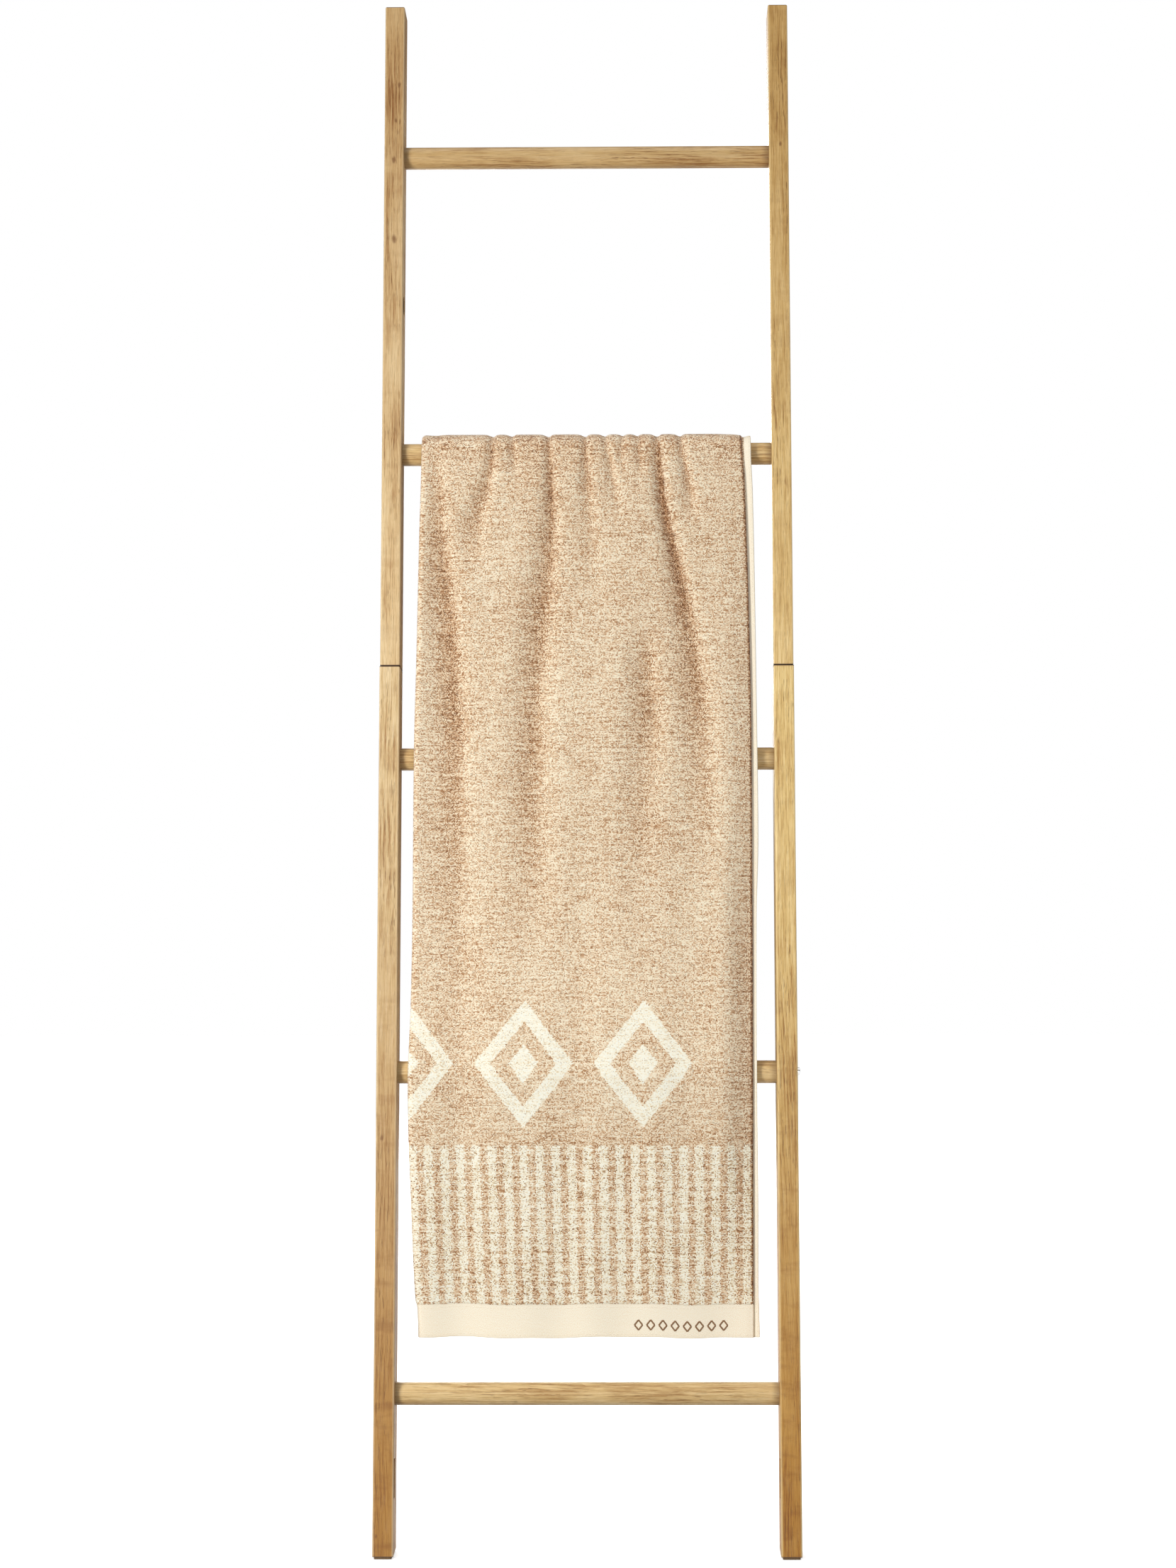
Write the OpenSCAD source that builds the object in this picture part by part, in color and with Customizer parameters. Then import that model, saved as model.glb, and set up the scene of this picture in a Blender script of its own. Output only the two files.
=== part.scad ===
// Leaning towel ladder with a terry sauna towel hung over its second rung from the top.
// Millimetres, +Z up, +Y towards the wall. The feet stand on z = 0.
// The ladder is laid out upright in its own frame: x across, y from its front face
// back, z along the stiles from the floor. leaned() then tips it back.

/* [Ladder] */
// Distance between rung centres along the stiles; the stiles are as long as five of them
rung_pitch = 377.5; // [300:0.1:480]
// Width across the outside of the upper stiles
ladder_w = 500; // [400:1:700]
// Thickness of the upper stiles, across the ladder
stile_t = 24; // [20:0.5:34]
// Depth of the stiles, front to back
stile_d = 45; // [37:0.5:60]
// How far the lower stiles stand out past the upper ones, on their outer faces
lower_step = 0.6; // [0:0.1:2]
// Radius of the long edges of the stiles
edge_r = 2; // [0.5:0.5:4]
// Bevel round the ends of the stiles
end_bevel = 1.5; // [0.5:0.1:3]
// Angle that the ladder leans back from upright, in degrees
lean = 7.3; // [4:0.1:12]
// How far the top rear corners are cut back, to lie flat on the wall
wall_cut = 3; // [1:0.5:6]

/* [Rungs] */
// Diameter of the rungs
rung_d = 27; // [20:0.5:33]
// Depth of the sockets that hold the rungs
socket_depth = 9; // [5:0.5:12]
// Gap all round between a rung and its socket
socket_play = 0.1; // [0.05:0.01:0.3]

/* [Rung screws] */
// Diameter of a screw's shank
screw_d = 4.6; // [3:0.1:6]
// Diameter of a screw's countersunk head
screw_head_d = 9.6; // [7:0.1:12]
// Length of a screw under its outer face
screw_l = 50; // [40:1:70]
// How far the loose screw's head stands out of the right stile
loose_head_h = 4; // [2:0.1:8]

/* [Stile joint] */
// Height of the joint above the third rung, along the stile
joint_above = 111.5; // [60:0.1:200]
// Shadow gap between the upper and lower stiles
joint_gap = 0.8; // [0.2:0.1:2]
// Diameter of the joint's wooden dowels
dowel_d = 8; // [6:0.1:9.6]
// Length of the dowels
dowel_l = 70; // [40:1:90]
// Distance of the first dowel from the front face
dowel_inset = 9.5; // [7:0.5:12]
// Distance between the two dowels of a joint
dowel_space = 10.5; // [9:0.5:14]
// Diameter of the cam that draws the joint together
cam_d = 15; // [12:0.5:16]
// Thickness of the cam
cam_h = 12.5; // [11:0.1:14]
// Distance of the cam's axis above the joint
cam_reach = 34; // [24:1:40]
// Diameter of the cam's bolt
cam_bolt_d = 6; // [5:0.5:7]
// Distance of the bolt's axis from the rear face
cam_bolt_inset = 8.5; // [7:0.5:10]
// Depth of the bolt's thread in the lower stile
cam_bolt_grip = 18; // [10:1:30]

/* [Recesses] */
// Diameter of the round recess inside the upper left stile
recess_d = 24; // [12:1:30]
// Depth of the round recess
recess_depth = 8; // [3:0.5:12]
// Length of the pocket inside each lower stile
pocket_l = 46; // [20:1:70]
// Width of the pocket
pocket_w = 14; // [6:0.5:20]
// Depth of the pocket
pocket_depth = 3; // [1:0.5:6]
// Height of the pocket's middle above the floor, along the stile
pocket_s = 92; // [60:1:130]
// Distance of the pocket's front side from the front face
pocket_inset = 4; // [3:0.5:15]

/* [Feet] */
// Thickness of the foot pads
pad_t = 3; // [1.5:0.5:6]
// How far a pad stays inside the foot's outline
pad_inset = 2; // [1:0.5:4]

/* [Towel] */
// Length of the towel, end to end
towel_l = 2000; // [1600:5:2400]
// Gap between a stile and the towel, which is folded lengthwise to fit
towel_gap = 20; // [12:1:60]
// Thickness of the two layers of terry
towel_t = 10; // [6:0.5:14]
// Sideways place of the towel's middle, from the ladder's middle
towel_x = -2; // [-10:0.5:10]
// Height of the front hem above the floor
front_hem_z = 245; // [150:1:400]
// Gap between the towel and the rungs
towel_play = 0.3; // [0.2:0.1:1]
// Gap where a hanging part of the towel swings against the part on the rung
swing_play = 0.5; // [0.3:0.1:1]

/* [Hidden] */
$fn = 96;
eps = 0.01;
oak = [0.78, 0.62, 0.40];
oak_pale = [0.86, 0.74, 0.56];
beech = [0.85, 0.72, 0.55];
steel = [0.75, 0.75, 0.77];
rubber = [0.25, 0.24, 0.23];
terry = [0.88, 0.76, 0.62];

rung_count = 5;
hung_rung = 2;      // the towel hangs over this rung, counted from the top
bend_rung = 4;      // and leaves the ladder below this one
loose_rung = 4;     // the screw at the right end of this rung isn't driven home
stile_l = rung_count * rung_pitch;
inner_x = ladder_w / 2 - stile_t;
towel_w = 2 * (inner_x - towel_gap);
joint_s = rung_s(3) + joint_above;
recess_s = (rung_s(1) + rung_s(2)) / 2;
cam_bolt_y = stile_d - cam_bolt_inset;
rear_y = stile_l * sin(lean) + stile_d * cos(lean) - wall_cut;
driver_slot = 1;    // width of the slots that take a driver
end_steps = 16;     // flats round the top of a hanging end

// The towel's arc round its rung, and the two lines about which its ends swing
towel_r = rung_d / 2 + towel_play + towel_t / 2;
swing_angle = asin((towel_t / 2 + swing_play) / towel_r);
hung = rung_point(hung_rung);
bend = rung_point(bend_rung);
front_dir = [-cos(lean), sin(lean)];
front_axis = hung + towel_r * front_dir;
back_axis = hung + [towel_r, 0];
front_length = norm(bend - hung) + bend[1] - front_hem_z;
arc_length = towel_r * PI * (180 - lean) / 180;
back_length = towel_l - front_length - arc_length;

// Distance of a rung's centre from the floor along the stile; rung 1 is the top one
function rung_s(i) = (rung_count - i + 0.5) * rung_pitch;

// Side view point [y, z] of a rung's centre, before the ladder is centred on y = 0
function rung_point(i) = [
    rung_s(i) * sin(lean) + stile_d / 2 * cos(lean),
    rung_s(i) * cos(lean) - stile_d / 2 * sin(lean)
];

// How far a lower stile's outer face stands out; the joint is between rungs 2 and 3
function outer_step(i) = i > 2 ? lower_step : 0;

// Puts standing things under the middle of the whole object
module centred() {
    translate([0, -rear_y / 2, 0]) children();
}

// Tips the upright ladder back
module leaned() {
    centred() rotate([-lean, 0, 0]) children();
}

// Extrudes a side view outline [y, z] across the towel's width
module across_towel() {
    centred() translate([towel_x - towel_w / 2, 0, 0])
        rotate([90, 0, 90]) linear_extrude(towel_w) children();
}

// Half a turn of points round the line that a hanging end swings about, clockwise from an angle
function round_end(axis, from) = [
    for (k = [0 : end_steps]) let (a = from - 180 * k / end_steps)
        axis + towel_t / 2 * [cos(a), sin(a)]
];

// side = 1 is the right of the ladder, and -1 mirrors it to the left
module on_side(side) {
    if (side > 0) children();
    else mirror([1, 0, 0]) children();
}

// A rectangle with rounded corners, its low corner at the origin
module rounded_outline(w, d, r) {
    translate([r, 0]) square([w - 2 * r, d]);
    translate([0, r]) square([w, d - 2 * r]);
    for (x = [r, w - r], y = [r, d - r]) translate([x, y]) circle(r);
}

// What the end bevel takes off round a stile of thickness t, above the plane z = 0
module bevel_cut(t) {
    c = end_bevel * sqrt(2);
    for (x = [0, t]) translate([x, stile_d / 2, 0])
        rotate([0, 45, 0]) cube([c, stile_d + 2, c], center = true);
    for (y = [0, stile_d]) translate([t / 2, y, 0])
        rotate([45, 0, 0]) cube([t + 2, c, c], center = true);
}

// A bar of the right-hand stile between two heights
module stile_bar(from_s, to_s, t) {
    translate([inner_x, 0, from_s])
        linear_extrude(to_s - from_s) rounded_outline(t, stile_d, edge_r);
}

// Socket, clearance hole and countersink for one rung, in the right-hand stile
module rung_seat(i) {
    outer_x = ladder_w / 2 + outer_step(i);
    sink_h = (screw_head_d - screw_d) / 2;
    translate([0, stile_d / 2, rung_s(i)]) rotate([0, 90, 0]) {
        translate([0, 0, inner_x - 1]) cylinder(d = rung_d + 2 * socket_play, h = socket_depth + 1);
        translate([0, 0, inner_x]) cylinder(d = screw_d + 0.8, h = stile_t + lower_step + 1);
        translate([0, 0, outer_x - sink_h])
            cylinder(d1 = screw_d + 0.8, d2 = screw_head_d + 0.8, h = sink_h);
        translate([0, 0, outer_x - eps]) cylinder(d = screw_head_d + 0.8, h = 1);
    }
}

// Blind holes for the dowels on one side of the joint; up = 1 goes into the upper stile
module dowel_holes(up) {
    depth = dowel_l / 2 + 1;
    for (k = [0, 1]) translate([inner_x + stile_t / 2, dowel_inset + k * dowel_space, joint_s])
        translate([0, 0, up > 0 ? joint_gap / 2 - 1 : -joint_gap / 2 - depth])
            cylinder(d = dowel_d + 0.1, h = depth + 1);
}

module upper_stile(side) {
    color(oak) leaned() on_side(side) difference() {
        stile_bar(joint_s + joint_gap / 2, stile_l, stile_t);
        for (i = [1, 2]) rung_seat(i);
        translate([inner_x, 0, stile_l]) bevel_cut(stile_t);
        // The top rear corner is cut upright, parallel to the wall
        rotate([lean, 0, 0]) translate([0, rear_y, joint_s])
            cube([ladder_w, stile_d, stile_l]);
        dowel_holes(1);
        // Way for the cam's bolt, and the cam's own seat from the rear face
        translate([inner_x + stile_t / 2, cam_bolt_y, joint_s - 1])
            cylinder(d = cam_bolt_d + 1, h = cam_reach + 1);
        translate([inner_x + stile_t / 2, stile_d - cam_h - 0.5, joint_s + cam_reach])
            rotate([-90, 0, 0]) cylinder(d = cam_d + 0.2, h = cam_h + 2);
        if (side < 0) translate([inner_x - 1, stile_d / 2, recess_s])
            rotate([0, 90, 0]) cylinder(d = recess_d, h = recess_depth + 1);
    }
}

module lower_stile(side) {
    color(oak_pale) leaned() on_side(side) difference() {
        stile_bar(-stile_d, joint_s - joint_gap / 2, stile_t + lower_step);
        for (i = [3, 4, 5]) rung_seat(i);
        dowel_holes(-1);
        translate([inner_x + stile_t / 2, cam_bolt_y, joint_s - joint_gap / 2 - cam_bolt_grip])
            cylinder(d = cam_bolt_d + 0.1, h = cam_bolt_grip + 1);
        // The foot is cut level with the floor, above its pad
        rotate([lean, 0, 0]) translate([0, -stile_d, pad_t - 3 * stile_d])
            cube([ladder_w, 3 * stile_d, 3 * stile_d]);
        translate([inner_x - 1, pocket_inset, pocket_s - pocket_l / 2])
            cube([pocket_depth + 1, pocket_w, pocket_l]);
    }
}

module rung(i) {
    length = 2 * (inner_x + socket_depth);
    pilot = screw_l - (stile_t - socket_depth) + 3;
    color(oak) leaned() translate([0, stile_d / 2, rung_s(i)]) rotate([0, 90, 0]) difference() {
        cylinder(d = rung_d, h = length, center = true);
        for (m = [0, 1]) mirror([0, 0, m]) translate([0, 0, length / 2 - pilot])
            cylinder(d = screw_d + 0.1, h = pilot + 1);
    }
}

// A countersunk wood screw along +x, its head's flat face at x = 0
module countersunk_screw() {
    head_h = (screw_head_d - screw_d) / 2;
    tip_h = screw_d;
    rotate([0, -90, 0]) difference() {
        rotate_extrude() polygon([
            [0, 0], [screw_head_d / 2, 0], [screw_head_d / 2, -0.3], [screw_d / 2, -head_h - 0.3],
            [screw_d / 2, -screw_l + tip_h], [0, -screw_l]
        ]);
        for (a = [0, 90]) rotate([0, 0, a]) translate([0, 0, 0.5])
            cube([screw_head_d * 0.5, driver_slot, 4], center = true);
    }
}

// The screw at one rung's end, driven home
module rung_screw(side, i) {
    on_side(side) translate([ladder_w / 2 + outer_step(i), stile_d / 2, rung_s(i)])
        mirror([1, 0, 0]) translate([0.1, 0, 0]) countersunk_screw();
}

module rung_screws_left() {
    color(steel) leaned() for (i = [1 : rung_count]) rung_screw(-1, i);
}

module rung_screws_right() {
    color(steel) leaned() for (i = [1 : rung_count]) if (i != loose_rung) rung_screw(1, i);
}

// A button head screw that stands out of the stile instead of lying flush
module loose_screw() {
    head_r = screw_head_d / 2;
    crown = head_r * 2.4;
    outer_x = ladder_w / 2 + outer_step(loose_rung);
    color(steel) leaned() translate([outer_x, stile_d / 2, rung_s(loose_rung)])
        rotate([0, 90, 0]) difference() {
            union() {
                intersection() {
                    translate([0, 0, loose_head_h - crown]) sphere(crown);
                    translate([0, 0, 0.2]) cylinder(r = head_r, h = loose_head_h);
                }
                translate([0, 0, loose_head_h - screw_l]) cylinder(d = screw_d, h = screw_l - 2);
            }
            translate([0, 0, loose_head_h - 2]) cylinder(d = screw_head_d * 0.42, h = 3, $fn = 6);
        }
}

module joint_dowels(side) {
    color(beech) leaned() on_side(side) for (k = [0, 1])
        translate([inner_x + stile_t / 2, dowel_inset + k * dowel_space, joint_s])
            cylinder(d = dowel_d, h = dowel_l, center = true);
}

// Steel bolt screwed into the lower stile, its end held in the cam
module joint_bolt(side) {
    neck_d = cam_bolt_d - 2;
    neck_l = 5;
    knob_l = 2;
    top = cam_reach + knob_l;
    color(steel) leaned() on_side(side)
        translate([inner_x + stile_t / 2, cam_bolt_y, joint_s]) {
            translate([0, 0, -joint_gap / 2 - cam_bolt_grip])
                cylinder(d = cam_bolt_d, h = top + cam_bolt_grip + joint_gap / 2 - neck_l - knob_l);
            translate([0, 0, top - neck_l - knob_l - eps]) cylinder(d = neck_d, h = neck_l + 2 * eps);
            translate([0, 0, top - knob_l]) cylinder(d = cam_bolt_d, h = knob_l);
        }
}

// Cam turned with a driver from behind: a disc with a hollow for the bolt's end
module joint_cam(side) {
    color(steel) leaned() on_side(side)
        translate([inner_x + stile_t / 2, stile_d - cam_h - 0.3, joint_s + cam_reach])
            difference() {
                rotate([-90, 0, 0]) cylinder(d = cam_d, h = cam_h);
                translate([0, cam_h + 0.3 - cam_bolt_inset, -cam_d])
                    cylinder(d = cam_bolt_d + 1, h = cam_d + 3);
                for (a = [0, 90]) translate([0, cam_h, 0]) rotate([0, a, 0])
                    cube([cam_d * 0.55, 3, driver_slot], center = true);
            }
}

module foot_pad(side) {
    w = stile_t + lower_step - 2 * pad_inset;
    d = stile_d / cos(lean) - 2 * pad_inset;
    color(rubber) centred() on_side(side)
        translate([inner_x + pad_inset, pad_t * tan(lean) + pad_inset, 0])
            linear_extrude(pad_t) rounded_outline(w, d, edge_r);
}

// The part of the towel that lies on the rung
module towel_saddle() {
    color(terry) centred() translate([towel_x - towel_w / 2, hung[0], hung[1]])
        rotate([90, 0, 90]) rotate([0, 0, swing_angle])
            rotate_extrude(angle = 180 - lean - 2 * swing_angle)
                translate([towel_r - towel_t / 2, 0]) square([towel_t, towel_w]);
}

// The front end: down the ladder's slope to the fourth rung, then straight down
module towel_front_fall() {
    half = towel_t / 2;
    level = [-1, 0];
    bend_mid = bend + towel_r * front_dir;
    // Where the two middle lines meet, in front of the rung at the bend
    bend_x = bend[0] - towel_r;
    knee = [bend_x, bend_mid[1] - (bend_mid[0] - bend_x) / tan(lean)];
    mitre = half / cos(lean / 2) * [-cos(lean / 2), sin(lean / 2)];
    hem = [bend_x, front_hem_z];
    color(terry) across_towel() polygon(concat(
        [knee - mitre, hem - half * level, hem + half * level, knee + mitre],
        round_end(front_axis, 180 - lean)
    ));
}

// The back end hangs plumb behind the ladder
module towel_back_fall() {
    hem = back_axis - [0, back_length];
    side = [towel_t / 2, 0];
    color(terry) across_towel() polygon(concat([hem + side, hem - side], round_end(back_axis, 180)));
}

upper_stile(-1);  // stile_upper_left
upper_stile(1);  // stile_upper_right
lower_stile(-1);  // stile_lower_left
lower_stile(1);  // stile_lower_right
rung(1);  // rung_1
rung(2);  // rung_2
rung(3);  // rung_3
rung(4);  // rung_4
rung(5);  // rung_5
rung_screws_left();
rung_screws_right();
loose_screw();
joint_dowels(-1);  // joint_dowels_left
joint_dowels(1);  // joint_dowels_right
joint_bolt(-1);  // joint_bolt_left
joint_bolt(1);  // joint_bolt_right
joint_cam(-1);  // joint_cam_left
joint_cam(1);  // joint_cam_right
foot_pad(-1);  // foot_pad_left
foot_pad(1);  // foot_pad_right
towel_saddle();
towel_front_fall();
towel_back_fall();
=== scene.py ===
"""The looks of the towel ladder: oak, hardware, and a terry sauna towel over the second rung.

Everything is in metres in the row frame: +Z up, +Y towards the wall, feet on z = 0.
The towel is one cloth, cut in two pieces along the top of its rung. A place on the cloth
is (u, v): u runs across the cut cloth from the selvedge of its front layer, and v along it
from the front hem.
"""
import math

import bpy
import numpy as np
from mathutils import Matrix, Vector


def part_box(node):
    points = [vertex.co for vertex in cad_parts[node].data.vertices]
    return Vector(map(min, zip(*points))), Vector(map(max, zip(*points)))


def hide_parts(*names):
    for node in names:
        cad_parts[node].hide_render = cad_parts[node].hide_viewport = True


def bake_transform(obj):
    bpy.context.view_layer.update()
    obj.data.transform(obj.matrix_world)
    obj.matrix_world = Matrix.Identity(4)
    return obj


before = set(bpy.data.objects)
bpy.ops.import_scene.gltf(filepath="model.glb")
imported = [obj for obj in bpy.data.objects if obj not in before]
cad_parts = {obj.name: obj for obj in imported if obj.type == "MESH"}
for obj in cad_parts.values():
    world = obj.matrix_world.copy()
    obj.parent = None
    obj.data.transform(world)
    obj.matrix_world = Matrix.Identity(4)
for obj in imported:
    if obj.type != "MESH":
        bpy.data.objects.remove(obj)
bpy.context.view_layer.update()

MM = 0.001
IMAGE_H = 2212                    # pixels of the picture's long side


# ---------------------------------------------------------------- places from the frame

def centre(node):
    low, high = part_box(node)
    return (low + high) / 2


RUNGS = [centre(f"rung_{i}") for i in range(1, 6)]
RUNG_R = (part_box("rung_2")[1].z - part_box("rung_2")[0].z) / 2
LEAN = math.atan2(RUNGS[0].y - RUNGS[4].y, RUNGS[0].z - RUNGS[4].z)
PITCH = (RUNGS[0] - RUNGS[1]).length
RUNG_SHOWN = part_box("stile_upper_right")[0].x     # from the middle to where a rung goes in
HUNG, BEND = RUNGS[1], RUNGS[3]   # the towel hangs over one and leaves the ladder at the other
FOOT_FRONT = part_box("foot_pad_left")[0].y - 2 * MM


def leaned_box(node):
    """Lowest and highest corner of a node in the ladder's own frame, with z along the stiles."""
    turn = Matrix.Rotation(LEAN, 3, "X")
    points = np.array([turn @ v.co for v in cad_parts[node].data.vertices])
    return points.min(0), points.max(0)


# ---------------------------------------------------------------- the cloth's shape

TOWEL_R = (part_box("towel_saddle")[1].z - HUNG.z + RUNG_R) / 2   # mid-line, on its rung
HEM_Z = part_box("towel_front_fall")[0].z
TOWEL_L = 2.0                     # end to end
TOWEL_W = 0.818                   # selvedge to selvedge
FRONT_W = 0.3985                  # across the front layer
FOLD_W = 0.012                    # round the lengthwise fold
BORDER = 0.040                    # flat woven border at each end
REAR_SELVEDGE = 9 * MM            # flat woven edge strip of the rear layer
PILE_HALF = 2.0 * MM              # half the thickness of the terry
WOVEN_HALF = 1.1 * MM             # and of the woven border
LAYER = 2.5 * MM                  # from the mid-line to the middle of either layer
FOLD_R = 4.0 * MM                 # how far the fold reaches in across the towel
BELOW_BEND = BEND.z - HEM_Z
BEND_ARC = TOWEL_R * LEAN
SLOPE = (HUNG - BEND).length
TOP_V = BELOW_BEND + BEND_ARC + SLOPE + TOWEL_R * (math.pi / 2 - LEAN)

# Side edges of the hanging cloth as (v, x): the fold, and the selvedge of each layer
FOLD_EDGE = [(0.000, -0.2012), (0.036, -0.2022), (0.043, -0.2042), (0.080, -0.2064),
             (0.160, -0.2094), (0.240, -0.2122), (0.300, -0.2128), (0.400, -0.2098),
             (0.490, -0.2088), (0.700, -0.2080), (0.820, -0.2058), (0.950, -0.2038),
             (1.070, -0.2016), (1.250, -0.2030), (1.600, -0.2050), (2.000, -0.2020)]
FRONT_EDGE = [(0.00, 0.1972), (0.33, 0.1976), (0.50, 0.1985), (0.71, 0.1986),
              (0.88, 0.1964), (1.02, 0.1926), (1.09, 0.1897), (1.30, 0.1930),
              (2.00, 0.1960)]
REAR_EDGE = [(0.00, 0.2046), (0.07, 0.2032), (0.16, 0.2034), (0.33, 0.2022),
             (0.50, 0.2034), (0.60, 0.2060), (0.77, 0.2050), (0.91, 0.2038),
             (1.02, 0.2022), (1.07, 0.2006), (1.30, 0.2010), (2.00, 0.2030)]

# How far the cloth stands off its mid-line before the creases are pressed in, and how far its
# right edge turns back, as (metres along it from the top of the rung, mm). The front is negative.
STAND_OFF = [(-1.10, 4.5), (-0.95, 8.0), (-0.75, 10.0), (-0.55, 10.0), (-0.38, 10.5),
             (-0.20, 12.0), (-0.10, 10.0), (-0.03, 5.0), (0.00, 3.4), (0.03, 4.6),
             (0.12, 9.0), (0.50, 9.0), (0.90, 5.0)]
MOST_TURNED = 9.5
TURN_BACK = [(-1.10, 1.5), (-1.00, 4.0), (-0.85, MOST_TURNED), (-0.62, MOST_TURNED), (-0.50, 6.0),
             (-0.30, 3.5), (0.00, 1.0), (0.90, 4.0)]

# Creases, each a list of (along, x, depth, half-width) in mm. Along starts at the top of the rung.
CREASES = [
    [(80, -116, 0, 9), (0, -115, 3.4, 3.5), (-35, -116, 6.4, 4.4), (-70, -122, 6.6, 7),
     (-128, -138, 5.6, 12), (-200, -142, 0, 18)],
    [(50, -92, 0, 5), (0, -92, 2.8, 3.2), (-30, -90, 4.4, 4), (-75, -87, 0, 6)],
    [(330, -30, 0, 24), (160, -40, 5.0, 14), (60, -46, 4.4, 7), (0, -47, 3.8, 3.6),
     (-60, -44, 9.0, 5), (-115, -44, 8.0, 8), (-170, -50, 7.0, 12), (-260, -61, 6.8, 16),
     (-345, -68, 6.8, 18), (-500, -72, 5.4, 24), (-680, -74, 0, 30)],
    [(90, -4, 0, 9), (0, -2, 3.8, 3.4), (-50, -1, 6.8, 4.8), (-90, 0, 5.4, 8),
     (-170, 3, 2.4, 12), (-260, 4, 0, 16)],
    [(60, 21, 0, 6), (0, 22, 3.0, 3.4), (-50, 29, 5.6, 4.4), (-85, 34, 3.8, 7),
     (-130, 38, 0, 10)],
    [(30, 44, 0, 4), (0, 44, 2.4, 3), (-35, 42, 3.4, 3.6), (-60, 42, 0, 5)],
    [(40, 62, 0, 4), (0, 62, 2.6, 3), (-40, 64, 3.4, 3.8), (-70, 66, 0, 6)],
    [(420, 60, 0, 26), (200, 72, 6.0, 16), (60, 84, 5.0, 8), (0, 86, 3.8, 3.6),
     (-40, 88, 9.5, 5), (-88, 92, 12.0, 6), (-120, 98, 12.0, 6.6), (-165, 107, 11.0, 8),
     (-210, 115, 9.4, 11), (-260, 122, 8.4, 14), (-345, 131, 7.4, 17), (-450, 134, 4.6, 22),
     (-600, 134, 0, 28)],
    [(60, 113, 0, 7), (0, 114, 3.4, 3.4), (-50, 120, 7.4, 4.6), (-85, 125, 6.0, 6.5),
     (-130, 127, 0, 10)],
    [(300, -170, 0, 24), (120, -182, 4.0, 16), (0, -187, 1.0, 8), (-70, -184, 5.0, 10),
     (-140, -180, 7.4, 12), (-215, -174, 8.4, 15), (-345, -166, 8.4, 18),
     (-520, -164, 5.6, 21), (-800, -168, 2.6, 26), (-980, -170, 0, 28)],
    [(-220, 66, 0, 16), (-300, 68, 6.2, 14), (-345, 71, 6.8, 17), (-450, 60, 5.0, 23),
     (-640, 45, 0, 30)],
    [(60, 10, 0, 14), (180, 14, 5.0, 20), (420, 20, 4.4, 28), (700, 24, 0, 34)],
    [(90, -110, 0, 14), (240, -104, 5.2, 18), (520, -98, 3.6, 28), (760, -96, 0, 34)],
]
LEFT_FLANK, RIGHT_FLANK = 1.15, 0.6   # of the half-width: gentle on the left, steep on the right
CREASE_SHIFT = 0.35               # of the half-width: the deepest place lies right of the path
SOFTNESS = 0.6 * MM               # how gently the relief stops at the mid-line
SAGS = (2.5 * MM, 4.5 * MM)       # of the slope above and below the rung between its ends
PRESSED_IN = 0.4 * MM             # what the towel's weight takes off half the pile on the rung
DEEP_CREASE = 10 * MM             # the painted crease shade is full at this depth
HEM_LIFT = 1.2 * MM               # the middle of the hem above the CAD hem
RIPPLES = ((0.8 * MM, 47, 2.1, 0.6), (0.5 * MM, 95, -5.0, 2.0))   # height, across, skew, phase


def smooth(low, high, t):
    """0 below low and 1 above high, with a smooth step between."""
    t = np.clip((t - low) / (high - low), 0, 1)
    return t * t * (3 - 2 * t)


def curve(points, at):
    """A smooth curve through a few (place, value) points, level beyond its ends."""
    place, value = np.array(sorted(points)).T
    step = np.diff(value) / np.diff(place)
    slope = np.zeros(len(place))      # level at peaks, so that the curve never overshoots
    same_way = step[1:] * step[:-1] > 0
    inner = 2 * step[1:] * step[:-1] / np.where(same_way, step[1:] + step[:-1], 1)
    slope[1:-1] = np.where(same_way, inner, 0)
    i = np.clip(np.searchsorted(place, at) - 1, 0, len(place) - 2)
    width = place[i + 1] - place[i]
    t = np.clip((at - place[i]) / width, 0, 1)
    s = 1 - t
    return (value[i] * s * s * (1 + 2 * t) + value[i + 1] * t * t * (1 + 2 * s)
            + width * t * s * (slope[i] * s - slope[i + 1] * t))


def crease_depth(points, x, along):
    """How deep one crease is pressed in, in metres."""
    path, depth, half = (curve([(p[0], p[k]) for p in points], along / MM) for k in (1, 2, 3))
    off = x / MM - path - CREASE_SHIFT * half
    half = half * np.where(off > 0, RIGHT_FLANK, LEFT_FLANK)
    return np.maximum(depth, 0) * np.exp(-0.5 * (off / half) ** 2) * MM


def creases(x, v):
    """How deep the creases are together, in metres."""
    return sum(crease_depth(points, x, v - TOP_V) for points in CREASES)


def pressed(v):
    """1 where the towel's weight presses the pile flat on its rung, and 0 elsewhere."""
    return 1 - smooth(0.020, 0.060, np.abs(v - TOP_V))


def relief(x, v):
    """How far the front layer stands out, never below zero, so that it clears the rungs."""
    along = v - TOP_V
    out = curve(STAND_OFF, along) * MM - creases(x, v)
    away = smooth(0.02, 0.30, np.abs(along))
    for height, across, skew, phase in RIPPLES:
        out = out + away * height * np.sin(x * across + skew * along + phase)
    out = out + smooth(0.75, 1.08, -along) * 1.3 * MM * np.sin(x * 62 + 1.2)
    edge = curve(FRONT_EDGE, v)
    out = out - curve(TURN_BACK, along) * MM * smooth(edge - 0.038, edge, x)
    return SOFTNESS * np.logaddexp(0, out / SOFTNESS)


def sag(v):
    """The slope of cloth between two rungs hangs back a little, under its own weight."""
    down = (BELOW_BEND + BEND_ARC + SLOPE - v) / PITCH
    depth = np.where(down < 1, *SAGS)
    return np.where((down > 0) & (down < 2), depth * np.sin(np.pi * down) ** 2, 0)


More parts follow.
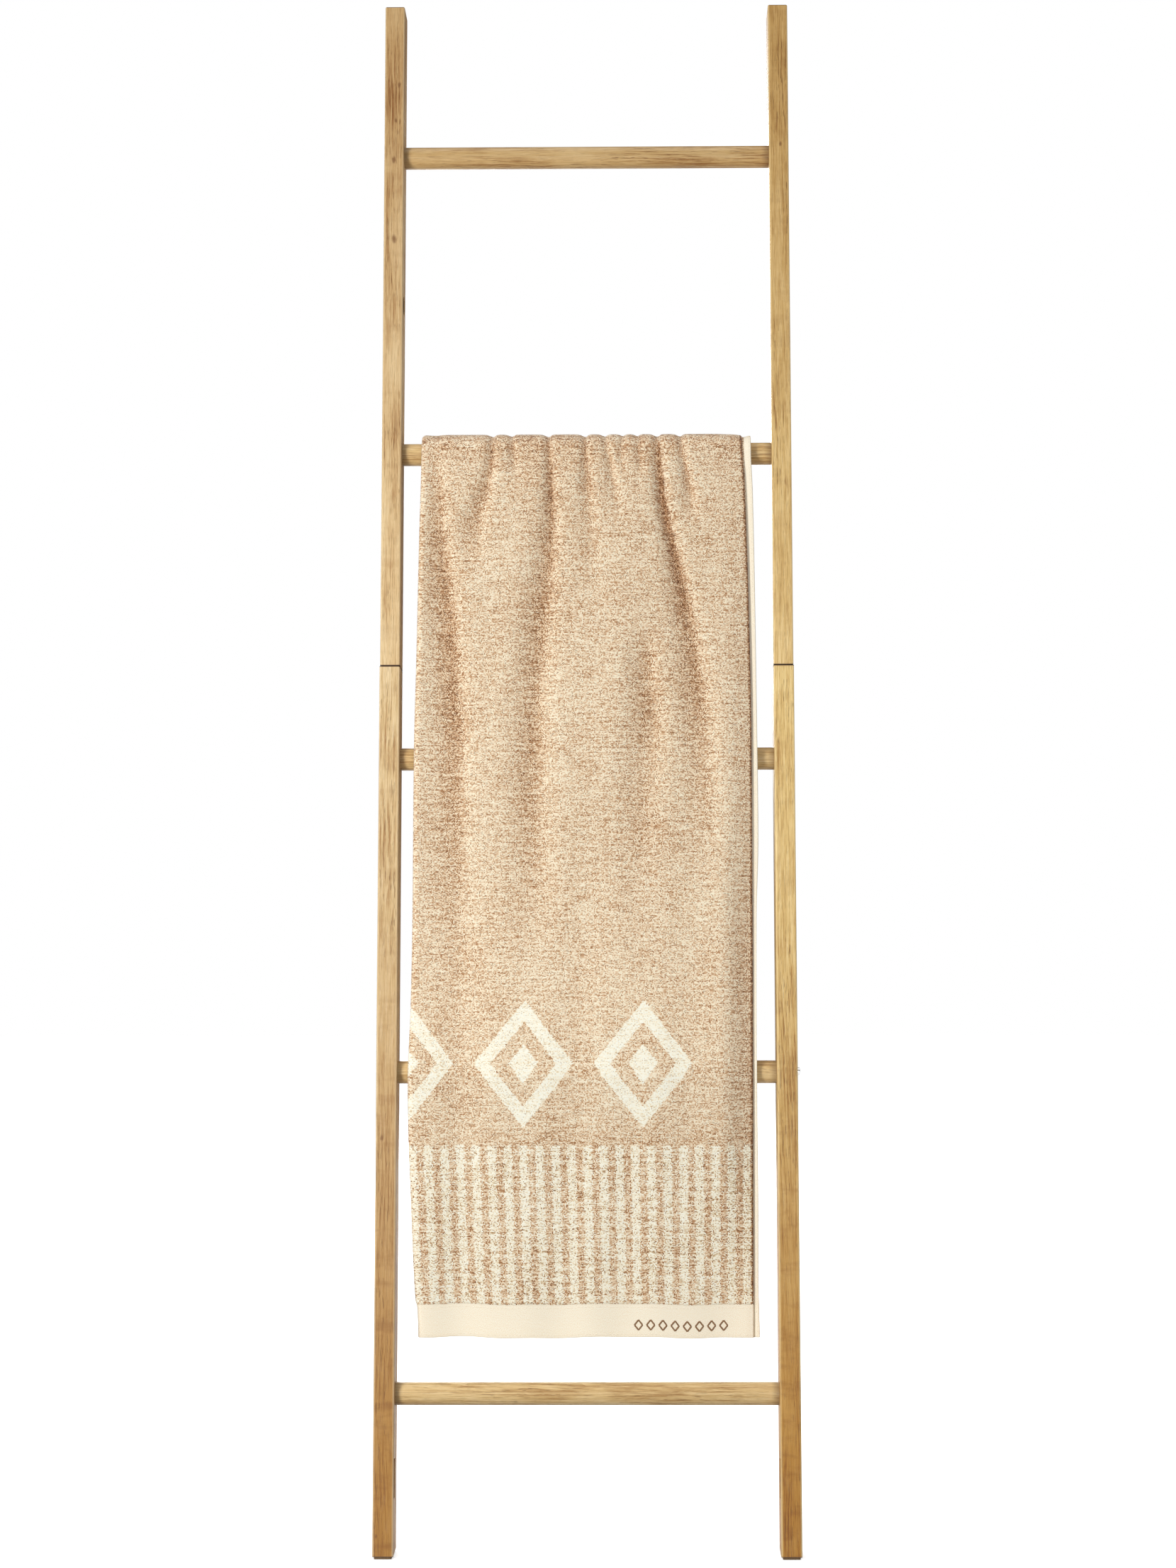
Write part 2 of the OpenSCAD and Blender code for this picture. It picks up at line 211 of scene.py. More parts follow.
def mid_line(v):
    """The towel's mid-line in side view: y, z and its outward direction, at each v."""
    path = [                      # (length, centre and first angle where it turns)
        (BELOW_BEND, None, None),
        (BEND_ARC, BEND, math.pi),
        (SLOPE, None, None),
        (TOWEL_R * (math.pi - LEAN), HUNG, math.pi - LEAN),
        (TOWEL_L, None, None),
    ]
    y, z, ny, nz = (np.zeros_like(v) for _ in range(4))
    begin, angle = 0.0, math.pi
    at = np.array([BEND.y - TOWEL_R, HEM_Z])
    for length, pivot, turned in path:
        here = (v >= begin) & (v <= begin + length)
        step = v[here] - begin
        if pivot is None:
            out = np.array([math.cos(angle), math.sin(angle)])
            run = np.array([out[1], -out[0]])
            y[here], z[here] = at[0] + step * run[0], at[1] + step * run[1]
            ny[here], nz[here] = out
            at = at + length * run
        else:
            a = turned - step / TOWEL_R
            ny[here], nz[here] = np.cos(a), np.sin(a)
            y[here] = pivot.y + TOWEL_R * ny[here]
            z[here] = pivot.z + TOWEL_R * nz[here]
            angle = turned - length / TOWEL_R
            at = np.array([pivot.y + TOWEL_R * math.cos(angle),
                           pivot.z + TOWEL_R * math.sin(angle)])
        begin += length
    return y, z, ny, nz


def cloth(u, v):
    """Where the middle of the cloth hangs: an array of points for arrays of u and v."""
    # Across: from the front selvedge to the fold, round it, and on to the rear selvedge
    fold, front, rear = (curve(edge, v) for edge in (FOLD_EDGE, FRONT_EDGE, REAR_EDGE))
    fold = fold + half_thickness(FRONT_W + FOLD_W / 2, v)
    inner = fold + FOLD_R
    on_front, on_rear = u <= FRONT_W, u >= FRONT_W + FOLD_W
    turn = np.clip((u - FRONT_W) / FOLD_W, 0, 1) * np.pi
    x = inner - FOLD_R * np.sin(turn)
    x = np.where(on_front, front - (front - inner) * u / FRONT_W, x)
    share = (u - FRONT_W - FOLD_W) / (TOWEL_W - FRONT_W - FOLD_W)
    x = np.where(on_rear, inner + (rear - inner) * share, x)
    # Outward: the rear layer follows the relief less, and its edge curls forward
    stand = relief(np.minimum(x, front), v)
    together = 0.5 + 0.45 * smooth(0.09, 0.19, x)
    layer = LAYER - 0.6 * MM * pressed(v) - 0.9 * MM * smooth(front - 0.010, front, x)
    curl = 2.2 * MM * smooth(front, rear, x)
    high, low = layer + stand, -layer + together * stand + curl
    out = (high + low) / 2 + (high - low) / 2 * np.cos(turn) - sag(v) - MM * pressed(v)
    # Along: a wavy hem
    hem = 1 - smooth(0, 0.30, np.minimum(v, TOWEL_L - v))
    wave = hem * (0.9 * MM * np.sin(x * 31 + 0.4) + 0.5 * MM * np.sin(x * 83 + 1.0))
    y, z, ny, nz = mid_line(v)
    return np.stack([x, y + out * ny, z + out * nz + wave + hem * HEM_LIFT], -1)


def half_thickness(u, v):
    """Half the cloth's thickness: full in the pile, thin in the woven strips, rounded at edges."""
    end = np.minimum(v, TOWEL_L - v)
    pile = smooth(BORDER - 0.8 * MM, BORDER + 1.6 * MM, end)
    pile = pile * smooth(-MM, 1.5 * MM, u)
    pile = pile * smooth(REAR_SELVEDGE - MM, REAR_SELVEDGE + 1.5 * MM, TOWEL_W - u)
    half = WOVEN_HALF + (PILE_HALF - PRESSED_IN * pressed(v) - WOVEN_HALF) * pile
    edge = np.minimum(np.minimum(u, TOWEL_W - u), end)
    return half * (0.4 + 0.6 * np.sqrt(np.clip(edge / (1.2 * MM), 0, 1)))


def cloth_frame(u, v):
    """The middle of the cloth with its directions across, along and outward."""
    u, v = np.broadcast_arrays(np.asarray(u, float), np.asarray(v, float))
    nudge = 0.2 * MM
    point = cloth(u, v)
    across = cloth(u + nudge, v) - cloth(u - nudge, v)
    along = cloth(u, v + nudge) - cloth(u, v - nudge)
    across /= np.linalg.norm(across, axis=-1, keepdims=True)
    along /= np.linalg.norm(along, axis=-1, keepdims=True)
    out = np.cross(along, across)
    out /= np.linalg.norm(out, axis=-1, keepdims=True)
    return point, across, along, out


def stations(end, *stretches):
    """Places from the first stretch's start to end; each stretch is (start, spacing)."""
    starts = [s for s, _ in stretches] + [end]
    parts = []
    for (start, spacing), stop in zip(stretches, starts[1:]):
        parts.append(np.linspace(start, stop, max(1, round((stop - start) / spacing)),
                                 endpoint=False))
    return np.append(np.concatenate(parts), end)


# ---------------------------------------------------------------- meshes

def new_mesh(name, points, faces, materials, smooth_faces=True):
    """A new object in the scene, with the given materials in its slots."""
    mesh = bpy.data.meshes.new(name)
    mesh.from_pydata(points, [], faces)
    for material in materials:
        mesh.materials.append(material)
    mesh.polygons.foreach_set("use_smooth", [smooth_faces] * len(mesh.polygons))
    piece = bpy.data.objects.new(name, mesh)
    bpy.context.scene.collection.objects.link(piece)
    return piece


def grid_faces(rows, columns, first=0, flip=False):
    """The quads of a grid of points that are numbered row by row."""
    corner = first + (np.arange(rows - 1)[:, None] * columns + np.arange(columns - 1)).ravel()
    quads = np.stack([corner, corner + 1, corner + columns + 1, corner + columns], -1)
    return quads[:, ::-1] if flip else quads


def painted_shade(x, u, v):
    """How dark the pile is painted in creases, on the rung and at the edges: mostly painted shade,
    with a little of the pile's real parting.
    """
    # Painted shade: deep creases, the turned-back edge, the front edge and the rung darken the
    # pile
    crease = np.clip(creases(x, v) / DEEP_CREASE, 0, 1) ** 1.8 * (u < FRONT_W + FOLD_W)
    turned = curve(TURN_BACK, v - TOP_V) / MOST_TURNED * (1 - smooth(8 * MM, 34 * MM, u))
    edge = 1 - smooth(1.5 * MM, 4.5 * MM, u)
    bunched = 1 - smooth(0.10, 0.35, np.abs(v - TOP_V))
    return 1.3 * crease + 0.3 * pressed(v) + 1.5 * edge + 0.35 * turned + 0.12 * bunched


def cloth_piece(name, rows, columns, materials):
    """A closed sheet between the given rows (v) and columns (u), with (u, v) as its UV map."""
    u, v = np.meshgrid(columns, rows)
    point, _, _, out = cloth_frame(u, v)
    half = half_thickness(u, v)[..., None]
    points = np.concatenate([(point + half * out).reshape(-1, 3),
                             (point - half * out).reshape(-1, 3)])
    n_rows, n_columns = u.shape
    behind = n_rows * n_columns
    outer = grid_faces(n_rows, n_columns, flip=True)
    inner = grid_faces(n_rows, n_columns, behind)
    index = np.arange(behind).reshape(n_rows, n_columns)
    edge = np.concatenate([index[0, :-1], index[:-1, -1], index[-1, :0:-1], index[:0:-1, 0]])
    after = np.roll(edge, -1)
    rim = np.stack([edge, after, after + behind, edge + behind], -1)
    faces = np.concatenate([outer, inner, rim])
    piece = new_mesh(name, points, faces.tolist(), materials)
    mesh = piece.data
    side = np.zeros(len(faces), int)
    side[len(outer):len(outer) + len(inner)] = 1
    mesh.polygons.foreach_set("material_index", side)
    place = np.stack([u.ravel(), v.ravel()], -1)
    corners = np.empty(len(mesh.loops), int)
    mesh.loops.foreach_get("vertex_index", corners)
    layer = mesh.uv_layers.new(name="cloth")
    layer.data.foreach_set("uv", place[corners % behind].ravel())
    # The second map carries the painted shade of the creases and edges
    layer = mesh.uv_layers.new(name="painted_shade")
    share = np.stack([painted_shade(point[..., 0], u, v).ravel(), np.zeros(behind)], -1)
    layer.data.foreach_set("uv", share[corners % behind].ravel())
    mesh.set_sharp_from_angle(angle=math.radians(60))
    return piece


THREAD_SIDES = 6
THREAD_ENDS = [(-0.5, 0.3), (-0.34, 1.0), (0.34, 1.0), (0.5, 0.3)]   # (place, size) along one


def threads(name, u, v, lift, length, width, heading, material, inner=False):
    """Short raised threads lying on the cloth at each (u, v), heading that angle from across."""
    u, v, heading = (np.ravel(a) for a in np.broadcast_arrays(u, v, heading))
    point, across, along, out = cloth_frame(u, v)
    if inner:
        out = -out
    angle = np.asarray(heading, float)[:, None]
    run = np.cos(angle) * across + np.sin(angle) * along
    side = np.cross(out, run)
    base = point + out * (half_thickness(u, v)[:, None] + lift)
    sides = THREAD_SIDES
    rings = []
    for place, size in THREAD_ENDS:
        dip = out * (-(1 - size) * width * 0.5)
        for k in range(sides):
            a = 2 * math.pi * k / sides
            rings.append(base + dip + run * place * length
                         + size * width / 2 * (math.cos(a) * side + math.sin(a) * out))
    points = np.stack(rings, 1).reshape(-1, 3)
    faces = []
    per_thread = sides * len(THREAD_ENDS)
    for i in range(len(u)):
        first = i * per_thread
        for ring in range(len(THREAD_ENDS) - 1):
            a = first + ring * sides
            for k in range(sides):
                b = (k + 1) % sides
                faces.append([a + k, a + b, a + sides + b, a + sides + k])
        faces.append([first + k for k in reversed(range(sides))])
        faces.append([first + per_thread - sides + k for k in range(sides)])
    return new_mesh(name, points.tolist(), faces, [material])


# ---------------------------------------------------------------- materials

def rgb(red, green, blue):
    """A colour given in 0 to 255 screen values, as Blender's linear colour."""
    linear = [(c / 255 / 12.92) if c <= 10 else ((c / 255 + 0.055) / 1.055) ** 2.4
              for c in (red, green, blue)]
    return (*linear, 1.0)


class Shader:
    """A material whose nodes are written as expressions."""

    def __init__(self, name, roughness=0.5, **settings):
        self.material = bpy.data.materials.new(name)
        self.material.use_nodes = True
        self.tree = self.material.node_tree
        self.surface = self.tree.nodes["Principled BSDF"]
        self.surface.inputs["Roughness"].default_value = roughness
        for key, value in settings.items():
            self.surface.inputs[key.replace("_", " ")].default_value = value

    def feed(self, socket, value):
        if isinstance(value, bpy.types.NodeSocket):
            self.tree.links.new(value, socket)
        else:
            socket.default_value = value

    def node(self, kind, inputs, **settings):
        made = self.tree.nodes.new("ShaderNode" + kind)
        for key, value in settings.items():
            setattr(made, key, value)
        for key, value in inputs.items():
            self.feed(made.inputs[key], value)
        return made

    def math(self, operation, *values):
        inputs = dict(enumerate(values))
        return self.node("Math", inputs, operation=operation).outputs[0]

    def weighted(self, *pairs):
        """The sum of each value times its weight."""
        total = 0.0
        for value, weight in pairs:
            total = self.math("MULTIPLY_ADD", value, weight, total)
        return total

    def range(self, value, low, high, to_low=0.0, to_high=1.0):
        """Takes low to to_low and high to to_high, with a smooth step between."""
        inputs = {"Value": value, "From Min": low, "From Max": high,
                  "To Min": to_low, "To Max": to_high}
        return self.node("MapRange", inputs, interpolation_type="SMOOTHSTEP").outputs[0]

    def mix(self, share, a, b, how="MIX"):
        made = self.node("MixRGB", {"Fac": share, "Color1": a, "Color2": b}, blend_type=how)
        return made.outputs[0]

    def ramp(self, value, stops):
        made = self.node("ValToRGB", {"Fac": value})
        elements = made.color_ramp.elements
        while len(elements) < len(stops):
            elements.new(0.5)
        for element, (place, colour) in zip(elements, stops):
            element.position = place
            element.color = colour
        return made.outputs["Color"]

    def split(self, vector):
        return self.node("SeparateXYZ", {0: vector}).outputs

    def join(self, x, y, z=0.0):
        return self.node("CombineXYZ", {0: x, 1: y, 2: z}).outputs[0]

    def scaled(self, vector, *scale):
        return self.node("VectorMath", {0: vector, 1: scale}, operation="MULTIPLY").outputs[0]

    def noise(self, vector, detail=2.0, rough=0.5, flat=False):
        inputs = {"Vector": vector, "Scale": 1.0, "Detail": detail, "Roughness": rough}
        return self.node("TexNoise", inputs,
                         noise_dimensions="2D" if flat else "3D").outputs[0]

    def bump(self, height, distance, strength=1.0):
        inputs = {"Height": height, "Distance": distance, "Strength": strength}
        made = self.node("Bump", inputs)
        self.tree.links.new(made.outputs[0], self.surface.inputs["Normal"])

    def colour(self, value):
        self.feed(self.surface.inputs["Base Color"], value)


LOOP = (1.35 * MM, 1.05 * MM)     # one loop of the terry, across and along
STRIPE = 18.7 * MM                # a cream and a tan stripe together
FIRST_STRIPE = 7.3 * MM           # middle of the first cream stripe, from the selvedge
CREAM_SHARE = 0.53
STRIPES_TO = 0.230                # from the border up to here
BLOCK = 12.5 * MM                 # two rows of the faint checks over the stripes
STRAY = 0.03                      # share of the loops in the other colour, anywhere
TAN_IN_CREAM, CREAM_IN_TAN = 0.13, 0.27   # and as much more where the checks ask for it
RING_TO, HEART_TO = 1.0, 0.30     # a diamond's ring ends here and its heart starts here
RING_HALF = 0.17                  # half the ring's width; all of them in half-widths of a diamond
MOTIF_V = 0.3255                  # middle of the row of diamonds, from the hem
MOTIF_PITCH = 0.140
MOTIF_HALF = (0.058, 0.0745)      # half its width and height
MOTIF_COUNT = 5


def terry(name, reverse):
    """Heathered terry loops with woven-in cream stripes and diamonds, and a flat border."""
    s = Shader(name, roughness=0.95, Specular_IOR_Level=0.15, Sheen_Weight=0.25,
               Sheen_Roughness=0.6)
    place = s.node("UVMap", {}, uv_map="cloth").outputs[0]
    u, v, _ = s.split(place)
    loops = s.node("TexVoronoi", {"Vector": s.scaled(place, 1 / LOOP[0], 1 / LOOP[1], 0),
                                  "Scale": 1.0, "Randomness": 0.25}, voronoi_dimensions="2D")
    tint = s.split(loops.outputs["Color"])
    loop_u, loop_v, _ = s.split(s.scaled(loops.outputs["Position"], LOOP[0], LOOP[1], 0))
    end = s.math("MINIMUM", loop_v, s.math("SUBTRACT", TOWEL_L, loop_v))

    # Each loop takes its colour from the pattern at its own middle, or up to half of reach away
    def scattered(value, reach):
        return s.math("MULTIPLY_ADD", s.math("SUBTRACT", tint[2], 0.5), reach, value)

    stripe = s.math("SUBTRACT", scattered(loop_u, 2.6 * MM), FIRST_STRIPE - STRIPE / 2)
    stripe = s.math("FRACT", s.math("DIVIDE", stripe, STRIPE))
    stripe = s.math("LESS_THAN", s.math("ABSOLUTE", s.math("SUBTRACT", stripe, 0.5)),
                    CREAM_SHARE / 2)
    in_band = s.math("LESS_THAN", end, STRIPES_TO)
    off = s.math("DIVIDE", s.math("SUBTRACT", scattered(loop_u, 1.6 * MM), TOWEL_W / 2),
                 MOTIF_PITCH)
    off = s.math("ABSOLUTE", s.math("SUBTRACT", off, s.math("ROUND", off)))
    off = s.math("MULTIPLY", off, MOTIF_PITCH / MOTIF_HALF[0])
    up = s.math("ABSOLUTE", s.math("SUBTRACT", end, MOTIF_V))
    reach = s.math("ADD", off, s.math("DIVIDE", up, MOTIF_HALF[1]))
    ring = s.math("COMPARE", reach, RING_TO - RING_HALF, RING_HALF)
    heart = s.math("LESS_THAN", reach, HEART_TO)
    motif = s.math("MAXIMUM", ring, heart)
    inside = s.math("ABSOLUTE", s.math("SUBTRACT", loop_u, TOWEL_W / 2))
    motif = s.math("MULTIPLY", motif, s.math("LESS_THAN", inside, MOTIF_PITCH * MOTIF_COUNT / 2))
    # Faint checks: in every other row some tan loops are cream, and in the rest the other way
    row = s.math("FRACT", s.math("DIVIDE", scattered(end, 2 * MM), BLOCK))
    row = s.math("LESS_THAN", row, 0.5)
    both, neither = s.math("MULTIPLY", row, stripe), s.math("MAXIMUM", row, stripe)
    neither = s.math("SUBTRACT", 1.0, neither)
    odds = s.math("ADD", STRAY, s.weighted((both, TAN_IN_CREAM), (neither, CREAM_IN_TAN)))
    swap = s.math("LESS_THAN", tint[1], odds)
    stripe = s.math("ABSOLUTE", s.math("SUBTRACT", stripe, swap))
    cream = s.math("MAXIMUM", s.math("MULTIPLY", stripe, in_band), motif)
    if reverse:
        patterned = s.math("MAXIMUM", in_band, s.math("COMPARE", end, MOTIF_V, MOTIF_HALF[1]))
        cream = s.math("ABSOLUTE", s.math("SUBTRACT", patterned, cream))

    # Heather: each loop's own tint, thin streaks across, clumps and a slow mottle, and painted
    # shade
    streak = s.noise(s.scaled(place, 28, 420, 0), detail=3.0, rough=0.6, flat=True)
    mottle = s.noise(s.scaled(place, 14, 11, 0), detail=2.0, flat=True)
    clump = s.noise(s.scaled(place, 600, 700, 0), detail=1.0, flat=True)
    # Painted shade from the mesh darkens the pile in creases, at the edges and near the rung
    shade_amount = s.split(s.node("UVMap", {}, uv_map="painted_shade").outputs[0])[0]
    near_hem = s.range(end, STRIPES_TO - 0.03, STRIPES_TO + 0.03, 1.0, 0.0)
    tone = s.weighted((tint[0], 0.46), (streak, 0.50), (clump, 0.10), (mottle, 0.12),
                      (shade_amount, -0.21), (near_hem, -0.10))
    tan_pile = s.ramp(tone, [(0.16, rgb(108, 68, 38)), (0.33, rgb(178, 130, 88)),
                             (0.50, rgb(224, 192, 155)), (0.67, rgb(247, 229, 200)),
                             (0.90, rgb(255, 247, 222))])
    # Dark specks, with more of them where the shade is painted
    speck = s.math("LESS_THAN", tint[1], s.math("MULTIPLY_ADD", shade_amount, 0.05, 0.07))
    tan_pile = s.mix(s.math("MULTIPLY", speck, 0.5), tan_pile, rgb(120, 80, 46))
    cream_pile = s.ramp(tone, [(0.20, rgb(176, 138, 94)), (0.34, rgb(238, 220, 186)),
                               (0.50, rgb(255, 248, 226)), (0.85, rgb(255, 255, 242))])
    cream_pile = s.mix(s.math("MULTIPLY", speck, 0.35), cream_pile, rgb(150, 110, 70))
    pile = s.mix(cream, tan_pile, cream_pile)

    yarn = s.noise(s.scaled(place, 1500, 900, 0), detail=2.0, flat=True)
    woven = s.ramp(yarn, [(0.30, rgb(242, 226, 198)), (0.55, rgb(254, 245, 224)),
                          (0.75, rgb(255, 252, 238))])
    woven = s.mix(s.range(streak, 0.45, 0.75, 0.0, 0.25), woven, rgb(248, 234, 206))
    true_end = s.math("MINIMUM", v, s.math("SUBTRACT", TOWEL_L, v))
    has_pile = s.math("GREATER_THAN", end, BORDER)
    has_pile = s.math("MULTIPLY", has_pile, s.math("GREATER_THAN", true_end, BORDER - 1.5 * MM))
    has_pile = s.math("MULTIPLY", has_pile,
                      s.math("LESS_THAN", loop_u, TOWEL_W - REAR_SELVEDGE))
    s.colour(s.mix(has_pile, woven, pile))

    dome = s.math("SUBTRACT", 1.0, loops.outputs["Distance"])
    dome = s.math("MULTIPLY", dome, s.math("MULTIPLY_ADD", tint[2], 0.6, 0.5))
    dome = s.math("ADD", dome, s.math("MULTIPLY", streak, 0.8))
    s.bump(s.weighted((dome, has_pile), (yarn, 0.25)), 0.55 * MM, 0.8)
    return s.material


def thread_material(name, light, dark):
    """Twisted sewing thread."""
    s = Shader(name, roughness=0.55, Specular_IOR_Level=0.35, Sheen_Weight=0.3)
    place = s.node("TexCoord", {}).outputs["Object"]
    twist = s.noise(s.scaled(place, 2600, 2600, 3400), detail=2.0)
    s.colour(s.ramp(twist, [(0.3, dark), (0.6, light)]))
    s.bump(twist, 0.1 * MM)
    return s.material


RING_WIDTH = 4.3 * MM             # one year's growth in the oak
CUT_END = 16 * MM                 # nearer to a stile's ends than this, nothing gets the painted recess shade


def oak(name, node, seed, light, mid, dark, run="stile", falloff_shade_weight=1.0, knots=()):
    """Oiled oak: growth lines, fibres, open pores and knots, with painted highlights on the
    arrises and painted shade.

    A stile's grain runs along z and a rung's along x. Each knot is (across, along, radius) in mm.
    """
    s = Shader(name, roughness=0.5, Specular_IOR_Level=0.4, Coat_Weight=0.05,
               Coat_Roughness=0.4)
    place = s.node("TexCoord", {}).outputs["Object"]
    flat = s.node("Mapping", {"Vector": place, "Rotation": (LEAN, 0, 0)}).outputs[0]
    x, y, z = s.split(flat)
    if run == "rung":
        x, y, z = y, z, x
    low, high = leaned_box(node)
    grain = s.join(s.math("ADD", x, seed * 0.37), s.math("ADD", y, seed * 0.21),
                   s.math("ADD", z, seed * 1.13))

    drift = s.noise(s.scaled(grain, 9, 9, 2.2), detail=2.0)
    heart = s.math("MULTIPLY_ADD", drift, 0.05, s.math("ADD", x, 0.055 + 0.012 * (seed % 3)))
    depth = s.math("MULTIPLY_ADD", z, 0.010 * (1 if seed % 2 else -1), y)
    rings = s.math("SQRT", s.math("ADD", s.math("MULTIPLY", heart, heart),
                                  s.math("MULTIPLY", depth, depth)))
    wander = s.noise(s.scaled(grain, 70, 70, 14), detail=3.0)
    rings = s.math("MULTIPLY_ADD", wander, 7 * MM, rings)
    rings = s.math("FRACT", s.math("DIVIDE", rings, RING_WIDTH))
    rings = s.math("MULTIPLY", rings, s.range(s.noise(s.scaled(grain, 38, 38, 7)), 0.35, 0.65))
    fibre = s.noise(s.scaled(grain, 700, 700, 26), detail=4.0, rough=0.65)
    cloud = s.noise(s.scaled(grain, 40, 40, 7), detail=4.0)
    tone = s.weighted((rings, 0.20), (fibre, 0.80), (cloud, 0.60))
    wood = s.ramp(tone, [(0.54, light), (0.76, mid), (0.96, dark)])

    rays = s.noise(s.scaled(grain, 420, 420, 95), detail=1.0)
    wood = s.mix(s.range(rays, 0.62, 0.74, 0.0, 0.25), wood, light)
    # Blotches of figure, strongest low down, and painted shade: a deeper tone towards the feet and
    # the top, where less light falls
    above_floor = s.split(place)[2]
    if run == "stile":
        figure = s.noise(s.scaled(grain, 20, 20, 52), detail=4.0, rough=0.6)
        figure = s.math("MULTIPLY", s.range(figure, 0.46, 0.70),
                        s.range(above_floor, 0.1, 0.9, 0.55, 0.2))
        wood = s.mix(figure, wood, dark)
    painted_falloff_shade = s.math("ADD", s.range(above_floor, 0.05, 1.0, 1.0, 0.0),
                  s.range(above_floor, 1.1, 1.85, 0.0, 0.5))
    wood = s.mix(s.math("MULTIPLY", painted_falloff_shade, falloff_shade_weight), wood,
                 s.mix(1.0, wood, rgb(192, 158, 96), "MULTIPLY"))
    pore_field = s.noise(s.scaled(grain, 1100, 1100, 75), detail=1.0)
    pores = s.math("MULTIPLY", s.range(pore_field, 0.58, 0.66),
                   s.range(rings, 0.1, 0.6, 0.35, 1.0))
    wood = s.mix(s.math("MULTIPLY", pores, 0.6), wood, rgb(112, 74, 34))
    flame = s.noise(s.scaled(grain, 150, 150, 30), detail=3.0)
    wood = s.mix(s.range(flame, 0.56, 0.70, 0.0, 0.35), wood, dark)
    for across, along, radius in knots:
        out_x = s.math("DIVIDE", s.math("SUBTRACT", x, across * MM), radius * MM)
        out_z = s.math("DIVIDE", s.math("SUBTRACT", z, along * MM), radius * 1.7 * MM)
        reach = s.math("SQRT", s.math("ADD", s.math("MULTIPLY", out_x, out_x),
                                      s.math("MULTIPLY", out_z, out_z)))
        reach = s.math("ADD", s.noise(s.scaled(grain, 320, 320, 260)), reach)
        wood = s.mix(s.range(reach, 0.8, 2.2, 0.75, 0.0), wood, rgb(118, 74, 38))

    # Painted highlight on the arrises, dark end grain with painted shadow beside it, and painted
    # shade where the face is cut in: the recess and pockets
    if run == "stile":
        arris, inside = 1.0, 1.0
        for value, near, far in ((x, low[0], high[0]), (y, low[1], high[1])):
            middle, half = float(near + far) / 2, float(far - near) / 2
            out = s.math("ABSOLUTE", s.math("SUBTRACT", value, middle))
            arris = s.math("MULTIPLY", arris, s.range(out, half - 2.6 * MM, half - 0.8 * MM))
            inside = s.math("MULTIPLY", inside, s.range(out, half - 1.2 * MM, half - 0.6 * MM,
                                                        1.0, 0.0))
        # Painted highlight: the rounded arrises are painted paler, as if catching the light
        painted_arris_highlight = s.math("MULTIPLY", arris, s.range(cloud, 0.3, 0.6, 0.25, 0.6))
        wood = s.mix(painted_arris_highlight, wood, light)
        from_end = s.math("MINIMUM", s.math("SUBTRACT", z, float(low[2])),
                          s.math("SUBTRACT", float(high[2]), z))
        # End grain is darker; the dark band along the faces beside each end is painted shadow, as
        # in the seam where the sections meet
        wood = s.mix(s.range(from_end, 0.4 * MM, 1.8 * MM, 0.55, 0.0), wood, rgb(140, 98, 58))
        wood = s.mix(s.range(from_end, 0.3 * MM, 0.9 * MM, 0.9, 0.0), wood, rgb(58, 38, 22))
        # Painted shade in the recess, pockets and bores cut into the faces
        clear = s.range(from_end, CUT_END - 2 * MM, CUT_END + 2 * MM, 0.0, 0.9)
        painted_recess_shade = s.math("MULTIPLY", inside, clear)
        wood = s.mix(painted_recess_shade, wood, rgb(62, 42, 26))
    else:    # a rung is darker where it goes into a stile
        # Painted shade: the rung's ends are darkened where the stile shades them
        from_stile = s.math("SUBTRACT", RUNG_SHOWN, s.math("ABSOLUTE", z))
        wood = s.mix(s.range(from_stile, 0.5 * MM, 11 * MM, 0.5, 0.0), wood, rgb(84, 56, 28))
    s.colour(wood)
    s.feed(s.surface.inputs["Roughness"], s.range(fibre, 0.3, 0.7, 0.42, 0.6))
    s.bump(s.weighted((fibre, 0.5), (pores, -1.0)), 0.12 * MM, 0.8)
    return s.material


def metal(name, light, dark, roughness):
    """Plated or cast metal with faint clouding and handling marks."""
    s = Shader(name, roughness=roughness, Metallic=1.0)
    place = s.node("TexCoord", {}).outputs["Object"]
    cloud = s.noise(s.scaled(place, 420, 420, 420), detail=4.0)
    scratch = s.noise(s.scaled(place, 2600, 300, 300), detail=2.0)
    s.colour(s.ramp(cloud, [(0.35, dark), (0.65, light)]))
    s.feed(s.surface.inputs["Roughness"],
           s.range(scratch, 0.3, 0.7, roughness - 0.08, roughness + 0.12))
    s.bump(scratch, 0.04 * MM, 0.6)
    return s.material


def rubber():
    """Brown-grey foot pads with a fine grit."""
    s = Shader("pad_rubber_look", roughness=0.85, Specular_IOR_Level=0.3)
    place = s.node("TexCoord", {}).outputs["Object"]
    grit = s.noise(s.scaled(place, 1800, 1800, 1800), detail=2.0)
    s.colour(s.ramp(grit, [(0.35, rgb(92, 72, 52)), (0.7, rgb(140, 114, 84))]))
    s.bump(grit, 0.15 * MM)
    return s.material


def beech():
    """The dowels: pale beech with short darker flecks."""
    s = Shader("beech_look", roughness=0.6)
    place = s.node("TexCoord", {}).outputs["Object"]
    flat = s.node("Mapping", {"Vector": place, "Rotation": (LEAN, 0, 0)}).outputs[0]
    fibre = s.noise(s.scaled(flat, 900, 900, 40), detail=3.0)
    fleck = s.noise(s.scaled(flat, 1700, 1700, 420), detail=1.0)
    wood = s.ramp(fibre, [(0.3, rgb(226, 190, 150)), (0.7, rgb(204, 160, 118))])
    s.colour(s.mix(s.range(fleck, 0.6, 0.68, 0.0, 0.5), wood, rgb(150, 100, 66)))
    s.bump(fibre, 0.1 * MM)
    return s.material


def dress(node, material):
    """Gives a CAD node its material."""
    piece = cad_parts[node]
    if not piece.material_slots:
        piece.data.materials.append(material)
    for place in piece.material_slots:
        place.material = material


